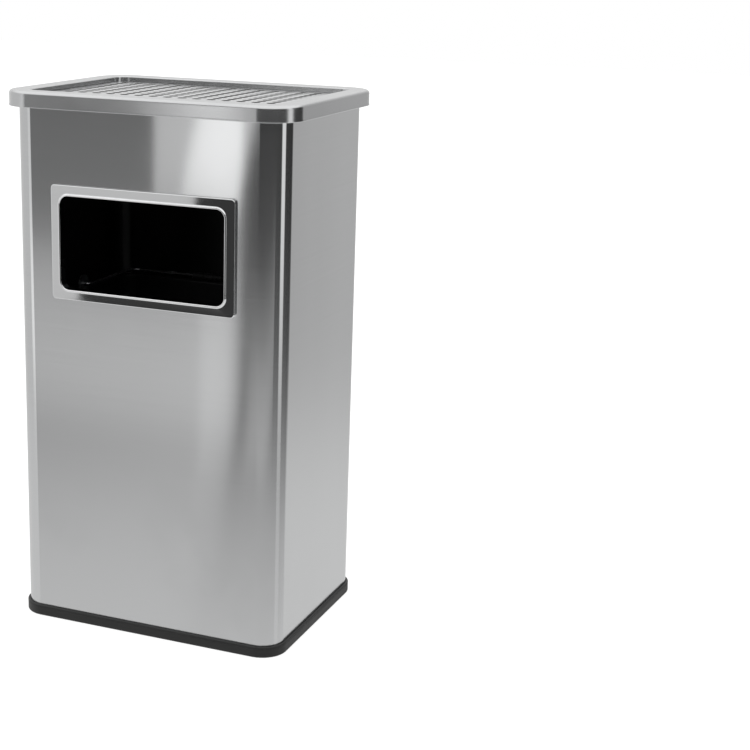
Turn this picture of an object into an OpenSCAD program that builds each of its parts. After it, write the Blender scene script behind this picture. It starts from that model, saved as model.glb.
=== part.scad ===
// Free-standing litter bin with an ash grille in its lift-off lid.
// Millimetres. The origin is on the floor under the middle of the bin; +Z is up
// and the mouth looks towards -Y.

/* [Casing] */
// Width of the casing, left to right
casing_w = 330; // [275:1:396]
// Depth of the casing, front to back
casing_d = 245; // [204:1:294]
// Height of the whole bin with its lid on
bin_h = 620; // [516:1:744]
// Outside radius of the casing's upright corners
corner_r = 27; // [22.5:0.5:33]
// Thickness of the casing's stainless sheet
casing_t = 1.2; // [0.8:0.1:1.5]

/* [Lid] */
// How far the lid stands out past the casing, all round
lid_over = 11; // [9:0.5:12]
// Height of the lid's skirt
lid_skirt = 17.5; // [14:0.5:21]
// Width of the flat rim around the ash recess
lid_rim = 24; // [22:0.5:28]
// Thickness of the lid's stainless sheet
lid_t = 1.2; // [0.8:0.1:1.5]
// Radius of the rounded edge between rim and skirt
lid_edge_r = 4; // [2:0.5:6]
// Depth of the ash recess, from the rim down to the grille
recess_h = 6; // [4:0.5:9]
// Width of the ledge that carries the ash pan and the grille
ledge_w = 9; // [6:0.5:10]
// Height of the collar that drops into the casing
collar_h = 30; // [18:1:36]
// Thickness of the collar
collar_t = 1.5; // [1:0.1:2]
// Gap between the collar and the casing's top frame
collar_gap = 1.1; // [0.6:0.1:1.4]

/* [Ash grille and pan] */
// Thickness of the perforated grille
grille_t = 1.5; // [1:0.1:2]
// Gap between the grille and the recess wall
grille_gap = 1.5; // [1:0.1:2.5]
// Diameter of each hole in the grille
hole_d = 10; // [6:0.5:11]
// Hole spacing, left to right
pitch_x = 18; // [15:0.5:22]
// Hole spacing, front to back
pitch_y = 15; // [13:0.5:18]
// Least width of plain sheet around the holes
grille_margin = 9; // [7:1:16]
// Thickness of the ash pan's sheet
pan_t = 1.2; // [0.8:0.1:1.5]
// Depth of the ash pan below its flange
pan_h = 45; // [36:1:54]
// Gap between the ash pan and the lid's ledge
pan_gap = 1.5; // [1:0.1:2.5]

/* [Mouth] */
// Width of the bezel, outside
bezel_w = 225; // [188:1:240]
// Height of the bezel, outside
bezel_h = 129; // [108:1:154]
// Width of the bezel's flat face
bezel_face = 12; // [11:0.5:14]
// Thickness of the bezel in front of the casing
bezel_t = 4; // [3.5:0.1:5]
// How far the rounded inner lip stands in front of the bezel's face
lip_h = 1.8; // [1:0.1:2.5]
// Radius of the mouth's corners
mouth_r = 10; // [6:0.5:14]
// Distance from the top of the lid down to the middle of the mouth
mouth_drop = 165; // [140:1:198]
// Thickness of the bezel's sleeve through the casing
sleeve_t = 1.5; // [1.2:0.1:2]
// Gap between the sleeve and the cut-out in the casing
sleeve_gap = 0.8; // [0.5:0.1:1.2]
// Thickness of the retainer behind the casing's front
retainer_t = 2; // [1.5:0.1:3]
// Diameter of the bezel screws
bezel_screw_d = 3; // [2.5:0.5:3.5]

/* [Base] */
// Height of the black base trim
trim_h = 13; // [11:0.5:16]
// How far the base trim stands out past the casing
trim_t = 3.2; // [2:0.1:4]
// Thickness of the base trim's web under the casing
trim_web = 5; // [4.5:0.1:6]
// How far the web reaches in from the casing's outside
trim_reach = 24; // [20:1:30]
// Thickness of the floor pan's sheet
floor_t = 1.2; // [0.8:0.1:1.5]
// Height of the floor pan's upturned flange
floor_flange = 20; // [12:1:24]
// Diameter of the screws that hold the base trim
base_screw_d = 5; // [4:0.5:6]

/* [Liner] */
// Distance from the mouth's lower edge down to the liner's rim
liner_drop = 27; // [22:1:40]
// Thickness of the liner's sheet
liner_t = 1.2; // [0.8:0.1:1.5]
// Outside radius of the liner's corners
liner_r = 20; // [16:1:24]
// Radius of the rolled rim
bead_r = 3.2; // [3:0.1:3.6]
// Gap around the rolled rim as the liner lifts through the top frame
lift_gap = 3; // [2.5:0.1:4]
// Diameter of the bail's wire
bail_d = 5; // [4:0.5:6]
// Diameter of the grip on the bail
grip_d = 9; // [8:0.5:11]
// Length of the grip
grip_l = 100; // [84:1:120]

/* [Hidden] */
$fn = 64;

// Casing: its sheet runs from the trim's web up to the underside of the lid's rim.
casing_z = trim_web;
casing_top = bin_h - lid_t;
casing_in_w = casing_w - 2 * casing_t;
casing_in_d = casing_d - 2 * casing_t;
casing_in_r = corner_r - casing_t;
front_y = -casing_d / 2;
floor_z = trim_web + floor_t;

// Lid: every outline in it is the casing's outline moved out or in.
lid_w = casing_w + 2 * lid_over;
lid_d = casing_d + 2 * lid_over;
lid_r = corner_r + lid_over;
recess_w = lid_w - 2 * lid_rim;
recess_d = lid_d - 2 * lid_rim;
recess_r = lid_r - lid_rim;
collar_out = lid_t + collar_t;
grille_z = bin_h - recess_h - grille_t;
ledge_z = grille_z - pan_t;
ledge = min(ledge_w, recess_r - 1); // its own corners stay round

// Top frame: an angle whose lip leaves the collar its gap.
frame_t = 1.5;
frame_h = 18;
opening_w = recess_w + 2 * (collar_out + collar_gap);
opening_d = recess_d + 2 * (collar_out + collar_gap);
opening_r = recess_r + collar_out + collar_gap;

// Mouth
mouth_z = bin_h - mouth_drop;
mouth_w = bezel_w - 2 * bezel_face;
mouth_h = bezel_h - 2 * bezel_face;
cut_w = mouth_w + 2 * (sleeve_t + sleeve_gap);
cut_h = mouth_h + 2 * (sleeve_t + sleeve_gap);
cut_r = mouth_r + sleeve_t + sleeve_gap;
bezel_r = 4.5;
lip_w = 2.4;
retainer_y = front_y + casing_t;
screw_head_h = 1.8;
sleeve_in = casing_t + retainer_t + screw_head_h;
bezel_bite = 2.8;
bezel_screw_in = 10;
bezel_screw_x = (mouth_w - 2 * mouth_r) / 2 - bezel_screw_in;
bezel_head_r = 2.8;
bezel_socket_r = 1;
bezel_socket_h = 0.9;
bezel_screw_z = (cut_h + bezel_h) / 4;

// Liner: its rolled rim passes the top frame's lip with lift_gap to spare.
liner_half_w = opening_w / 2 - lift_gap - 2 * bead_r + liner_t;
liner_half_d = opening_d / 2 - lift_gap - 2 * bead_r + liner_t;
liner_top = mouth_z - mouth_h / 2 - liner_drop;
bead_z = liner_top - bead_r;
bead_off = bead_r - liner_t;
wire_r = 1.8;
wire_gap = 0.15;
bottom_lift = 7;

// Bail: it lies back on the rolled rim with the grip just clear of it.
ear_t = 2;
ear_w = 22;
ear_drop = 34;
ear_x = liner_half_w - liner_t - ear_t;
pivot_gap = 0.05;
rest_gap = 0.6;
pivot_z = liner_top + grip_d / 2 + rest_gap;
bail_r = bail_d / 2;
bail_turn = 6;
bail_bend = 16;
bail_clear = 1;
bail_x = ear_x - bail_turn - bail_clear;
bail_reach = liner_half_d + bead_off;
bail_head_r = 3.6;
bail_head_t = 1.5;
bail_head_gap = 0.3;
rivet_r = 2;
rivet_head_r = 3.8;
rivet_tip_r = 2.6;
rivet_head_h = 1.4;
rivet_z = [liner_top - 15, liner_top - 27];

// Base: screws and weld nuts stand in the gap between liner and floor flange.
side_gap_x = (casing_in_w / 2 - floor_t + liner_half_w) / 2;
side_gap_y = (casing_in_d / 2 - floor_t + liner_half_d) / 2;
base_screw_y = casing_d / 4;
base_points = [[side_gap_x, base_screw_y], [side_gap_x, -base_screw_y],
               [-side_gap_x, base_screw_y], [-side_gap_x, -base_screw_y],
               [0, side_gap_y], [0, -side_gap_y]];
head_r = 4.8;
head_h = 2.5;
head_sink = 0.6;
socket_r = 1.6;
socket_h = 1.4;
screw_end = 1.5;
nut_af = 8;
nut_h = 4;
screw_gap = 0.25;
thread_gap = 0.05;
stop_gap = 1.5;
stop_h = 25;
stop_t = 1.5;
stop_l = 22;
stop_clear = 1;
stop_shift = 8;
web_corner_in = 12;

// ---- outlines -------------------------------------------------------------

// A rectangle with round corners, centred.
module rounded(w, d, r) {
    square([w - 2 * r, d], center = true);
    square([w, d - 2 * r], center = true);
    for (x = [-1, 1], y = [-1, 1])
        translate([x * (w / 2 - r), y * (d / 2 - r)]) circle(r);
}

// A wall of thickness t that follows a rounded rectangle from z up by h.
module wall(w, d, r, t, z, h) {
    translate([0, 0, z]) linear_extrude(h) difference() {
        rounded(w, d, r);
        rounded(w - 2 * t, d - 2 * t, r - t);
    }
}

// A flat sheet that follows a rounded rectangle.
module sheet(w, d, r, z, h) {
    translate([0, 0, z]) linear_extrude(h) rounded(w, d, r);
}

// Carries a profile round a rounded rectangle. The profile's x is the distance
// from the corner's centre, its y the height.
module swept(w, d, r) {
    sx = w / 2 - r;
    sy = d / 2 - r;
    for (a = [0, 180]) rotate([0, 0, a]) {
        translate([sx, sy, 0]) rotate([90, 0, 0]) linear_extrude(2 * sy) children();
        translate([sx, sy, 0]) rotate_extrude(angle = 90) children();
        rotate([0, 0, 90]) {
            translate([sy, sx, 0]) rotate([90, 0, 0]) linear_extrude(2 * sx) children();
            translate([sy, sx, 0]) rotate_extrude(angle = 90) children();
        }
    }
}

// Draws an outline upright round the mouth, from y towards the front by t.
module upright(y, t) {
    translate([0, y, mouth_z]) rotate([90, 0, 0]) linear_extrude(t) children();
}

function arc(cx, cy, r, a0, a1, n = 8) =
    [for (i = [0:n]) let (a = a0 + (a1 - a0) * i / n) [cx + r * cos(a), cy + r * sin(a)]];

// ---- casing ---------------------------------------------------------------

module bezel_screw_points() {
    for (x = [-1, 0, 1], z = [-1, 1]) translate([x * bezel_screw_x, z * bezel_screw_z]) children();
}

// The wrapped stainless sleeve with the mouth's cut-out in its front.
module casing_shell() {
    color([0.74, 0.75, 0.75]) difference() {
        wall(casing_w, casing_d, corner_r, casing_t, casing_z, casing_top - casing_z);
        upright(front_y + 2 * casing_t, 3 * casing_t) rounded(cut_w, cut_h, cut_r);
        upright(front_y + 2 * casing_t, 3 * casing_t)
            bezel_screw_points() circle(bezel_screw_d / 2 + screw_gap);
    }
}

// The angle welded inside the casing's top edge, which the lid rests on.
module top_frame() {
    color([0.62, 0.63, 0.64]) {
        wall(casing_in_w, casing_in_d, casing_in_r, frame_t, casing_top - frame_h, frame_h);
        translate([0, 0, casing_top - frame_t]) linear_extrude(frame_t) difference() {
            rounded(casing_in_w, casing_in_d, casing_in_r);
            rounded(opening_w, opening_d, opening_r);
        }
    }
}

// The pressed floor with its flange turned up against the casing.
module floor_pan() {
    color([0.60, 0.62, 0.63]) difference() {
        union() {
            sheet(casing_in_w, casing_in_d, casing_in_r, casing_z, floor_t);
            wall(casing_in_w, casing_in_d, casing_in_r, floor_t, casing_z, floor_flange);
        }
        for (p = base_points) translate([p.x, p.y, 0])
            cylinder(h = 2 * floor_z, r = base_screw_d / 2 + screw_gap);
    }
}

// The moulded black trim: a lip outside the casing and a web under its floor.
module base_trim() {
    trim_w = casing_w + 2 * trim_t;
    trim_d = casing_d + 2 * trim_t;
    trim_r = corner_r + trim_t;
    in_r = corner_r - web_corner_in;
    color([0.05, 0.05, 0.05]) difference() {
        union() {
            wall(trim_w, trim_d, trim_r, trim_t, trim_web, trim_h - trim_web);
            linear_extrude(trim_web) difference() {
                rounded(trim_w, trim_d, trim_r);
                rounded(casing_w - 2 * trim_reach, casing_d - 2 * trim_reach, in_r);
            }
        }
        for (p = base_points) translate([p.x, p.y, -1]) {
            cylinder(h = trim_web + 2, r = base_screw_d / 2 + screw_gap);
            cylinder(h = 1 + head_sink + head_h, r = head_r + screw_gap);
        }
    }
}

module base_screws() {
    color([0.70, 0.70, 0.72]) for (p = base_points) translate([p.x, p.y, head_sink]) {
        difference() {
            cylinder(h = head_h, r = head_r);
            translate([0, 0, -1]) cylinder(h = 1 + socket_h, r = socket_r, $fn = 6);
        }
        cylinder(h = floor_z + nut_h + screw_end - head_sink, r = base_screw_d / 2);
    }
}

module weld_nuts() {
    color([0.66, 0.66, 0.68]) for (p = base_points) translate([p.x, p.y, floor_z]) difference() {
        cylinder(h = nut_h, d = nut_af / cos(30), $fn = 6);
        translate([0, 0, -1]) cylinder(h = nut_h + 2, r = base_screw_d / 2 + thread_gap);
    }
}

// One folded stop whose upright faces -X at x = 0.
module liner_stop(foot) {
    translate([0, -stop_l / 2, 0]) cube([stop_t, stop_l, stop_h]);
    translate([0, -stop_l / 2, 0]) cube([foot, stop_l, stop_t]);
}

// Eight stops on the floor pan, two at each corner, that centre the liner.
module liner_stops() {
    foot_x = casing_in_w / 2 - floor_t - liner_half_w - stop_gap - stop_clear;
    foot_y = casing_in_d / 2 - floor_t - liner_half_d - stop_gap - stop_clear;
    along_x = liner_half_w - liner_r - stop_l / 2;
    along_y = liner_half_d - liner_r - stop_l / 2 + stop_shift;
    color([0.60, 0.62, 0.63]) for (s = [-1, 1]) {
        for (a = [0, 180]) rotate([0, 0, a]) {
            translate([liner_half_w + stop_gap, s * along_y, floor_z]) liner_stop(foot_x);
            translate([s * along_x, liner_half_d + stop_gap, floor_z])
                rotate([0, 0, 90]) liner_stop(foot_y);
        }
    }
}

// ---- mouth ----------------------------------------------------------------

// The plated frame: a flat face, a proud rounded lip and a sleeve through the casing.
module mouth_bezel() {
    color([0.86, 0.87, 0.88]) difference() {
        union() {
            upright(front_y, bezel_t) rounded(bezel_w, bezel_h, bezel_r);
            upright(front_y - bezel_t, lip_h)
                rounded(mouth_w + 2 * lip_w, mouth_h + 2 * lip_w, mouth_r + lip_w);
            upright(front_y + sleeve_in, sleeve_in)
                rounded(mouth_w + 2 * sleeve_t, mouth_h + 2 * sleeve_t, mouth_r + sleeve_t);
        }
        upright(front_y + sleeve_in + 1, sleeve_in + bezel_t + lip_h + 2)
            rounded(mouth_w, mouth_h, mouth_r);
        upright(front_y + 1, 1 + bezel_bite + 0.2)
            bezel_screw_points() circle(bezel_screw_d / 2 + thread_gap);
    }
}

// The flat ring behind the front sheet that the bezel is drawn up against.
module bezel_retainer() {
    color([0.60, 0.61, 0.62]) upright(retainer_y + retainer_t, retainer_t) difference() {
        rounded(bezel_w, bezel_h, bezel_r);
        rounded(cut_w, cut_h, cut_r);
        bezel_screw_points() circle(bezel_screw_d / 2 + screw_gap);
    }
}

module bezel_screws() {
    head_y = retainer_y + retainer_t;
    color([0.70, 0.70, 0.72]) {
        upright(head_y, retainer_t + casing_t + bezel_bite)
            bezel_screw_points() circle(bezel_screw_d / 2);
        difference() {
            upright(head_y + screw_head_h, screw_head_h) bezel_screw_points() circle(bezel_head_r);
            upright(head_y + screw_head_h + 1, 1 + bezel_socket_h)
                bezel_screw_points() circle(bezel_socket_r, $fn = 6);
        }
    }
}

// ---- lid ------------------------------------------------------------------

// The pressed lid: skirt, rounded edge, flat rim, recess wall and ledge in one sheet.
module lid_frame() {
    edge = lid_r - lid_edge_r;
    top = bin_h - lid_edge_r;
    color([0.78, 0.79, 0.79]) swept(lid_w, lid_d, lid_r) polygon(concat(
        [[lid_r, bin_h - lid_skirt]],
        arc(edge, top, lid_edge_r, 0, 90),
        [[recess_r, bin_h], [recess_r, ledge_z], [recess_r - ledge, ledge_z],
         [recess_r - ledge, ledge_z - lid_t], [recess_r + lid_t, ledge_z - lid_t],
         [recess_r + lid_t, bin_h - lid_t]],
        arc(edge, top, lid_edge_r - lid_t, 90, 0),
        [[lid_r - lid_t, bin_h - lid_skirt]]));
}

// The strip welded round the recess wall that drops inside the casing's top frame.
module lid_collar() {
    color([0.62, 0.63, 0.64])
        wall(recess_w + 2 * collar_out, recess_d + 2 * collar_out, recess_r + collar_out,
             collar_t, bin_h - lid_t - collar_h, collar_h);
}

// ---- ash grille and pan ---------------------------------------------------

grille_w = recess_w - 2 * grille_gap;
grille_d = recess_d - 2 * grille_gap;
grille_r = recess_r - grille_gap;
columns = floor((grille_w - 2 * grille_margin - hole_d) / pitch_x) + 1;
rows = floor((grille_d - 2 * grille_margin - hole_d) / pitch_y) + 1;

// The perforated sheet that cigarettes are stubbed out on.
module ash_grille() {
    color([0.70, 0.71, 0.71]) translate([0, 0, grille_z]) linear_extrude(grille_t) difference() {
        rounded(grille_w, grille_d, grille_r);
        for (i = [0:columns - 1], j = [0:rows - 1])
            translate([(i - (columns - 1) / 2) * pitch_x, (j - (rows - 1) / 2) * pitch_y])
                circle(hole_d / 2, $fn = 24);
    }
}

// The tray under the grille. Its flange lies on the lid's ledge.
module ash_pan() {
    inner = ledge + pan_gap;
    pan_w = recess_w - 2 * inner;
    pan_d = recess_d - 2 * inner;
    pan_r = max(recess_r - inner, pan_t + 1);
    color([0.55, 0.56, 0.57]) {
        translate([0, 0, ledge_z]) linear_extrude(pan_t) difference() {
            rounded(grille_w, grille_d, grille_r);
            rounded(pan_w - 2 * pan_t, pan_d - 2 * pan_t, pan_r - pan_t);
        }
        wall(pan_w, pan_d, pan_r, pan_t, ledge_z + pan_t - pan_h, pan_h);
        sheet(pan_w, pan_d, pan_r, ledge_z + pan_t - pan_h, pan_t);
    }
}

// ---- liner ----------------------------------------------------------------

// The liner's wrapped wall with its edge rolled outwards.
module liner_wall() {
    color([0.10, 0.10, 0.11]) {
        difference() {
            wall(2 * liner_half_w, 2 * liner_half_d, liner_r, liner_t, floor_z, bead_z - floor_z);
            for (x = [-1, 1], z = rivet_z) translate([x * liner_half_w, 0, z])
                rotate([0, 90, 0]) cylinder(h = 4 * liner_t, r = rivet_r + thread_gap, center = true);
        }
        swept(2 * liner_half_w, 2 * liner_half_d, liner_r)
            translate([liner_r + bead_off, bead_z]) difference() {
                circle(bead_r);
                circle(wire_r + wire_gap);
            }
    }
}

// The wire that the rim is rolled round.
module rim_wire() {
    color([0.55, 0.56, 0.58]) swept(2 * liner_half_w, 2 * liner_half_d, liner_r)
        translate([liner_r + bead_off, bead_z]) circle(wire_r);
}

// The pressed bottom, let in above the wall's lower edge.
module liner_bottom() {
    w = 2 * (liner_half_w - liner_t);
    d = 2 * (liner_half_d - liner_t);
    color([0.10, 0.10, 0.11]) {
        sheet(w, d, liner_r - liner_t, floor_z + bottom_lift, liner_t);
        wall(w, d, liner_r - liner_t, liner_t, floor_z, bottom_lift);
    }
}

// The two pressed ears that carry the bail above the rim.
module bail_ears() {
    color([0.55, 0.56, 0.58]) for (a = [0, 180]) rotate([0, 0, a]) difference() {
        union() {
            translate([ear_x, -ear_w / 2, liner_top - ear_drop])
                cube([ear_t, ear_w, ear_drop + pivot_z - liner_top]);
            translate([ear_x, 0, pivot_z]) rotate([0, 90, 0]) cylinder(h = ear_t, r = ear_w / 2);
        }
        translate([ear_x - 1, 0, pivot_z]) rotate([0, 90, 0])
            cylinder(h = ear_t + 2, r = bail_r + pivot_gap);
        for (z = rivet_z) translate([ear_x - 1, 0, z]) rotate([0, 90, 0])
            cylinder(h = ear_t + 2, r = rivet_r + thread_gap);
    }
}

module ear_rivets() {
    grip = ear_t + liner_t;
    color([0.70, 0.70, 0.72]) for (a = [0, 180], z = rivet_z)
        rotate([0, 0, a]) translate([ear_x, 0, z]) rotate([0, 90, 0]) {
            cylinder(h = grip, r = rivet_r);
            translate([0, 0, -rivet_head_h])
                cylinder(h = rivet_head_h, r1 = rivet_tip_r, r2 = rivet_head_r);
            translate([0, 0, grip])
                cylinder(h = rivet_head_h, r1 = rivet_head_r, r2 = rivet_tip_r);
        }
}

// A quarter turn of wire in the horizontal plane, about the origin, from +X to +Y.
module wire_turn(bend) {
    rotate_extrude(angle = 90) translate([bend, 0]) circle(bail_r);
}

// The wire bail, lying back on the rim.
module bail_wire() {
    color([0.55, 0.56, 0.58]) translate([0, 0, pivot_z]) {
        for (s = [0, 1]) mirror([s, 0, 0]) {
            translate([bail_x + bail_turn, 0, 0]) rotate([0, 90, 0])
                cylinder(h = ear_x + ear_t + bail_head_gap + bail_head_t - bail_x - bail_turn,
                         r = bail_r);
            translate([ear_x + ear_t + bail_head_gap, 0, 0]) rotate([0, 90, 0])
                cylinder(h = bail_head_t, r = bail_head_r);
            translate([bail_x + bail_turn, bail_turn, 0]) rotate([0, 0, 180]) wire_turn(bail_turn);
            translate([bail_x, bail_turn, 0]) rotate([-90, 0, 0])
                cylinder(h = bail_reach - bail_bend - bail_turn, r = bail_r);
            translate([bail_x - bail_bend, bail_reach - bail_bend, 0]) wire_turn(bail_bend);
        }
        translate([0, bail_reach, 0]) rotate([0, 90, 0])
            cylinder(h = 2 * (bail_x - bail_bend), r = bail_r, center = true);
    }
}

// The plastic tube on the middle of the bail.
module bail_grip() {
    color([0.06, 0.06, 0.06]) translate([0, bail_reach, pivot_z]) rotate([0, 90, 0]) difference() {
        cylinder(h = grip_l, r = grip_d / 2, center = true);
        cylinder(h = grip_l + 2, r = bail_r + thread_gap, center = true);
    }
}

casing_shell();
top_frame();
floor_pan();
base_trim();
base_screws();
weld_nuts();
liner_stops();
mouth_bezel();
bezel_retainer();
bezel_screws();
lid_frame();
lid_collar();
ash_grille();
ash_pan();
liner_wall();
liner_bottom();
rim_wire();
bail_ears();
ear_rivets();
bail_wire();
bail_grip();
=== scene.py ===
import math

import bmesh
import bpy
from mathutils import Matrix, Vector


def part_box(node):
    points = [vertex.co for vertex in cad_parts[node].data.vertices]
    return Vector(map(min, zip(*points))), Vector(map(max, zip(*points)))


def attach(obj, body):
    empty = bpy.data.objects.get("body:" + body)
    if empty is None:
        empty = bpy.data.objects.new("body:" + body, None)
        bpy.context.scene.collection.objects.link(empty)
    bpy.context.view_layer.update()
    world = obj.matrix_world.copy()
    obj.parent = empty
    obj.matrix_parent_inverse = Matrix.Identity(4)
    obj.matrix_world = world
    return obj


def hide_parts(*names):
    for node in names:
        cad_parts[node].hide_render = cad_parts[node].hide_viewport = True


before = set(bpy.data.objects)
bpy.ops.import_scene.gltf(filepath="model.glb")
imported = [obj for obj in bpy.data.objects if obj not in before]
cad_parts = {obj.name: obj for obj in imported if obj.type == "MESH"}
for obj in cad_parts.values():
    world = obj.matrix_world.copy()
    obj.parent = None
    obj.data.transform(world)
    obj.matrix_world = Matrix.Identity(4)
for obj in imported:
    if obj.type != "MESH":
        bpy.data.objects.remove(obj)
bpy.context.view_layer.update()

# ---- Camera -----------------------------------------------------------------
# A standing person's view of the bin from the front right, a little above the
# lid. The lens is about 78 mm on a 36 mm sensor.

camera_yaw, camera_pitch, camera_roll = 0.3982, 0.2627, 0.0189
ahead = Vector((-math.sin(camera_yaw) * math.cos(camera_pitch),
                math.cos(camera_yaw) * math.cos(camera_pitch),
                -math.sin(camera_pitch)))
level_right = Vector((math.cos(camera_yaw), math.sin(camera_yaw), 0))
level_up = level_right.cross(ahead)
camera_right = level_right * math.cos(camera_roll) + level_up * math.sin(camera_roll)
camera_up = level_up * math.cos(camera_roll) - level_right * math.sin(camera_roll)
camera = bpy.data.objects.new("camera", bpy.data.cameras.new("camera"))
camera.data.sensor_width = 36
camera.data.lens = 77.92
camera.data.shift_x = 0.12
camera.matrix_world = Matrix.LocRotScale(
    Vector((0.82389, -1.6728, 0.78673)),
    Matrix((camera_right, camera_up, -ahead)).transposed().to_quaternion(), None)
bpy.context.collection.objects.link(camera)
bpy.context.scene.camera = camera

# ---- Casing shell -----------------------------------------------------------
# One sheet of 1.2 mm stainless, brushed round its girth, wrapped over four
# upright corners and closed by a flat lock seam down the middle of the back.
# The mouth is pressed out of its front.

SHEET = 0.0012
CASING_R = 0.027
casing_lo, casing_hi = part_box("casing_shell")
CASING_W, CASING_D = casing_hi.x - casing_lo.x, casing_hi.y - casing_lo.y
FRONT_Y = casing_lo.y


def ring(w, d, r, z, steps=20):
    """Points of a level rounded rectangle, anticlockwise from above."""
    points = []
    for quarter, (sx, sy) in enumerate(((1, 1), (-1, 1), (-1, -1), (1, -1))):
        for i in range(steps + 1):
            a = math.radians(90 * (quarter + i / steps))
            points.append(Vector((sx * (w / 2 - r) + r * math.cos(a),
                                  sy * (d / 2 - r) + r * math.sin(a), z)))
    return points


def arc(cx, cz, r, start, end, steps=8):
    """Points of an arc in a profile, angles in degrees."""
    turns = [math.radians(start + (end - start) * i / steps) for i in range(steps + 1)]
    return [(cx + r * math.cos(a), cz + r * math.sin(a)) for a in turns]


def carried(w, d, r, profile, steps=20):
    """Rings for a profile of (distance in from the outline, height)."""
    return [ring(w - 2 * inset, d - 2 * inset, r - inset, z, steps) for inset, z in profile]


def skin(name, rings, ends="joined"):
    """A mesh over rings of equal count. The ends are joined, capped or left open."""
    count = len(rings[0])
    faces = []
    for a in range(len(rings) - (0 if ends == "joined" else 1)):
        b = (a + 1) % len(rings)
        for i in range(count):
            j = (i + 1) % count
            faces.append((a * count + i, a * count + j, b * count + j, b * count + i))
    if ends == "capped":
        faces.append(tuple(range(count))[::-1])
        faces.append(tuple((len(rings) - 1) * count + i for i in range(count)))
    mesh = bpy.data.meshes.new(name)
    mesh.from_pydata([p for r in rings for p in r], [], faces)
    return mesh


def loft(name, rings, ends="joined"):
    """A solid piece over rings."""
    piece = bpy.data.objects.new(name, skin(name, rings, ends))
    bpy.context.collection.objects.link(piece)
    return tidy(piece)


def tidy(piece):
    """Merges doubles and turns every face outwards."""
    work = bmesh.new()
    work.from_mesh(piece.data)
    bmesh.ops.remove_doubles(work, verts=work.verts, dist=1e-6)
    bmesh.ops.recalc_face_normals(work, faces=work.faces)
    work.to_mesh(piece.data)
    work.free()
    return piece


def plain(piece):
    """Makes the evaluated shape the piece's own mesh and drops its modifiers."""
    bpy.context.view_layer.update()
    graph = bpy.context.evaluated_depsgraph_get()
    mesh = bpy.data.meshes.new_from_object(piece.evaluated_get(graph))
    piece.modifiers.clear()
    piece.data = mesh
    return piece


def softened(piece, width=0.0003, segments=2, angle=32):
    """Rounds the sharp edges, then shades flats flat and bends smooth."""
    if width:
        bevel = piece.modifiers.new("edges", "BEVEL")
        bevel.width, bevel.segments = width, segments
        bevel.limit_method, bevel.angle_limit = "ANGLE", math.radians(angle)
        plain(piece)
    piece.data.shade_smooth()
    piece.data.set_sharp_from_angle(angle=math.radians(angle))
    even = piece.modifiers.new("even", "WEIGHTED_NORMAL")
    even.mode, even.weight, even.keep_sharp = "FACE_AREA", 80, True
    return plain(piece)


def joined(name, pieces):
    """One object from several, at the origin."""
    work = bmesh.new()
    for piece in pieces:
        work.from_mesh(piece.data)
    mesh = bpy.data.meshes.new(name)
    work.to_mesh(mesh)
    work.free()
    for piece in pieces:
        bpy.data.objects.remove(piece)
    whole = bpy.data.objects.new(name, mesh)
    bpy.context.collection.objects.link(whole)
    return whole


def settle(piece, body, slot_name, finish, *nodes):
    """Gives a piece its finish and says what it rides on and stands for."""
    piece.data.materials.clear()
    piece.data.materials.append(finish)
    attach(piece, body)
    if nodes:
        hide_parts(*nodes)
    return piece


class Signal:
    """A node's output. Sums and products of signals add Math nodes."""

    def __init__(self, tree, socket=None):
        self.tree, self.socket = tree, socket

    def add(self, kind, settings=None, inputs=None, output=0):
        node = self.tree.nodes.new(kind)
        for key, value in (settings or {}).items():
            if key == "stops":
                while len(node.color_ramp.elements) < len(value):
                    node.color_ramp.elements.new(0.5)
                for stop, (place, colour) in zip(node.color_ramp.elements, value):
                    stop.position, stop.color = place, (*colour, 1)
            else:
                setattr(node, key, value)
        for key, value in (inputs or {}).items():
            if isinstance(value, Signal):
                self.tree.links.new(value.socket, node.inputs[key])
            else:
                node.inputs[key].default_value = value
        return Signal(self.tree, node.outputs[output])

    def math(self, operation, *values):
        return self.add("ShaderNodeMath", {"operation": operation}, dict(enumerate(values)))

    def __add__(self, other):
        return self.math("ADD", self, other)

    def __sub__(self, other):
        return self.math("SUBTRACT", self, other)

    def __rsub__(self, other):
        return self.math("SUBTRACT", other, self)

    def __mul__(self, other):
        return self.math("MULTIPLY", self, other)

    __radd__, __rmul__ = __add__, __mul__

    def along(self, axis):
        """One coordinate of a place."""
        return self.add("ShaderNodeSeparateXYZ", {}, {"Vector": self}, axis)

    def rise(self, low, high):
        """0 below low, 1 above high and smooth between."""
        return self.add("ShaderNodeMapRange", {"interpolation_type": "SMOOTHSTEP"},
                        {"Value": self, "From Min": low, "From Max": high}, "Result")

    def noise(self, stretch, detail=3.0, roughness=0.5):
        """Noise with so many bumps to the metre along X, Y and Z."""
        spread = self.add("ShaderNodeMapping", {}, {"Vector": self, "Scale": stretch})
        return self.add("ShaderNodeTexNoise", {},
                        {"Vector": spread, "Scale": 1.0, "Detail": detail,
                         "Roughness": roughness}, "Fac")

    def tint(self, dark, light):
        """A colour between two, by this signal. Either may be a signal too."""
        first, second = (end if isinstance(end, Signal) else (*end, 1) for end in (dark, light))
        return self.add("ShaderNodeMix", {"data_type": "RGBA"},
                        {"Factor": self, 6: first, 7: second}, 2)

    def bump(self, height, under=None):
        """A normal from this signal as a relief of that height in metres."""
        inputs = {"Height": self, "Distance": height, "Strength": 1.0}
        if under:
            inputs["Normal"] = under
        return self.add("ShaderNodeBump", {}, inputs)

    def feed(self, shader, socket):
        self.tree.links.new(self.socket, shader.inputs[socket])


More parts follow.
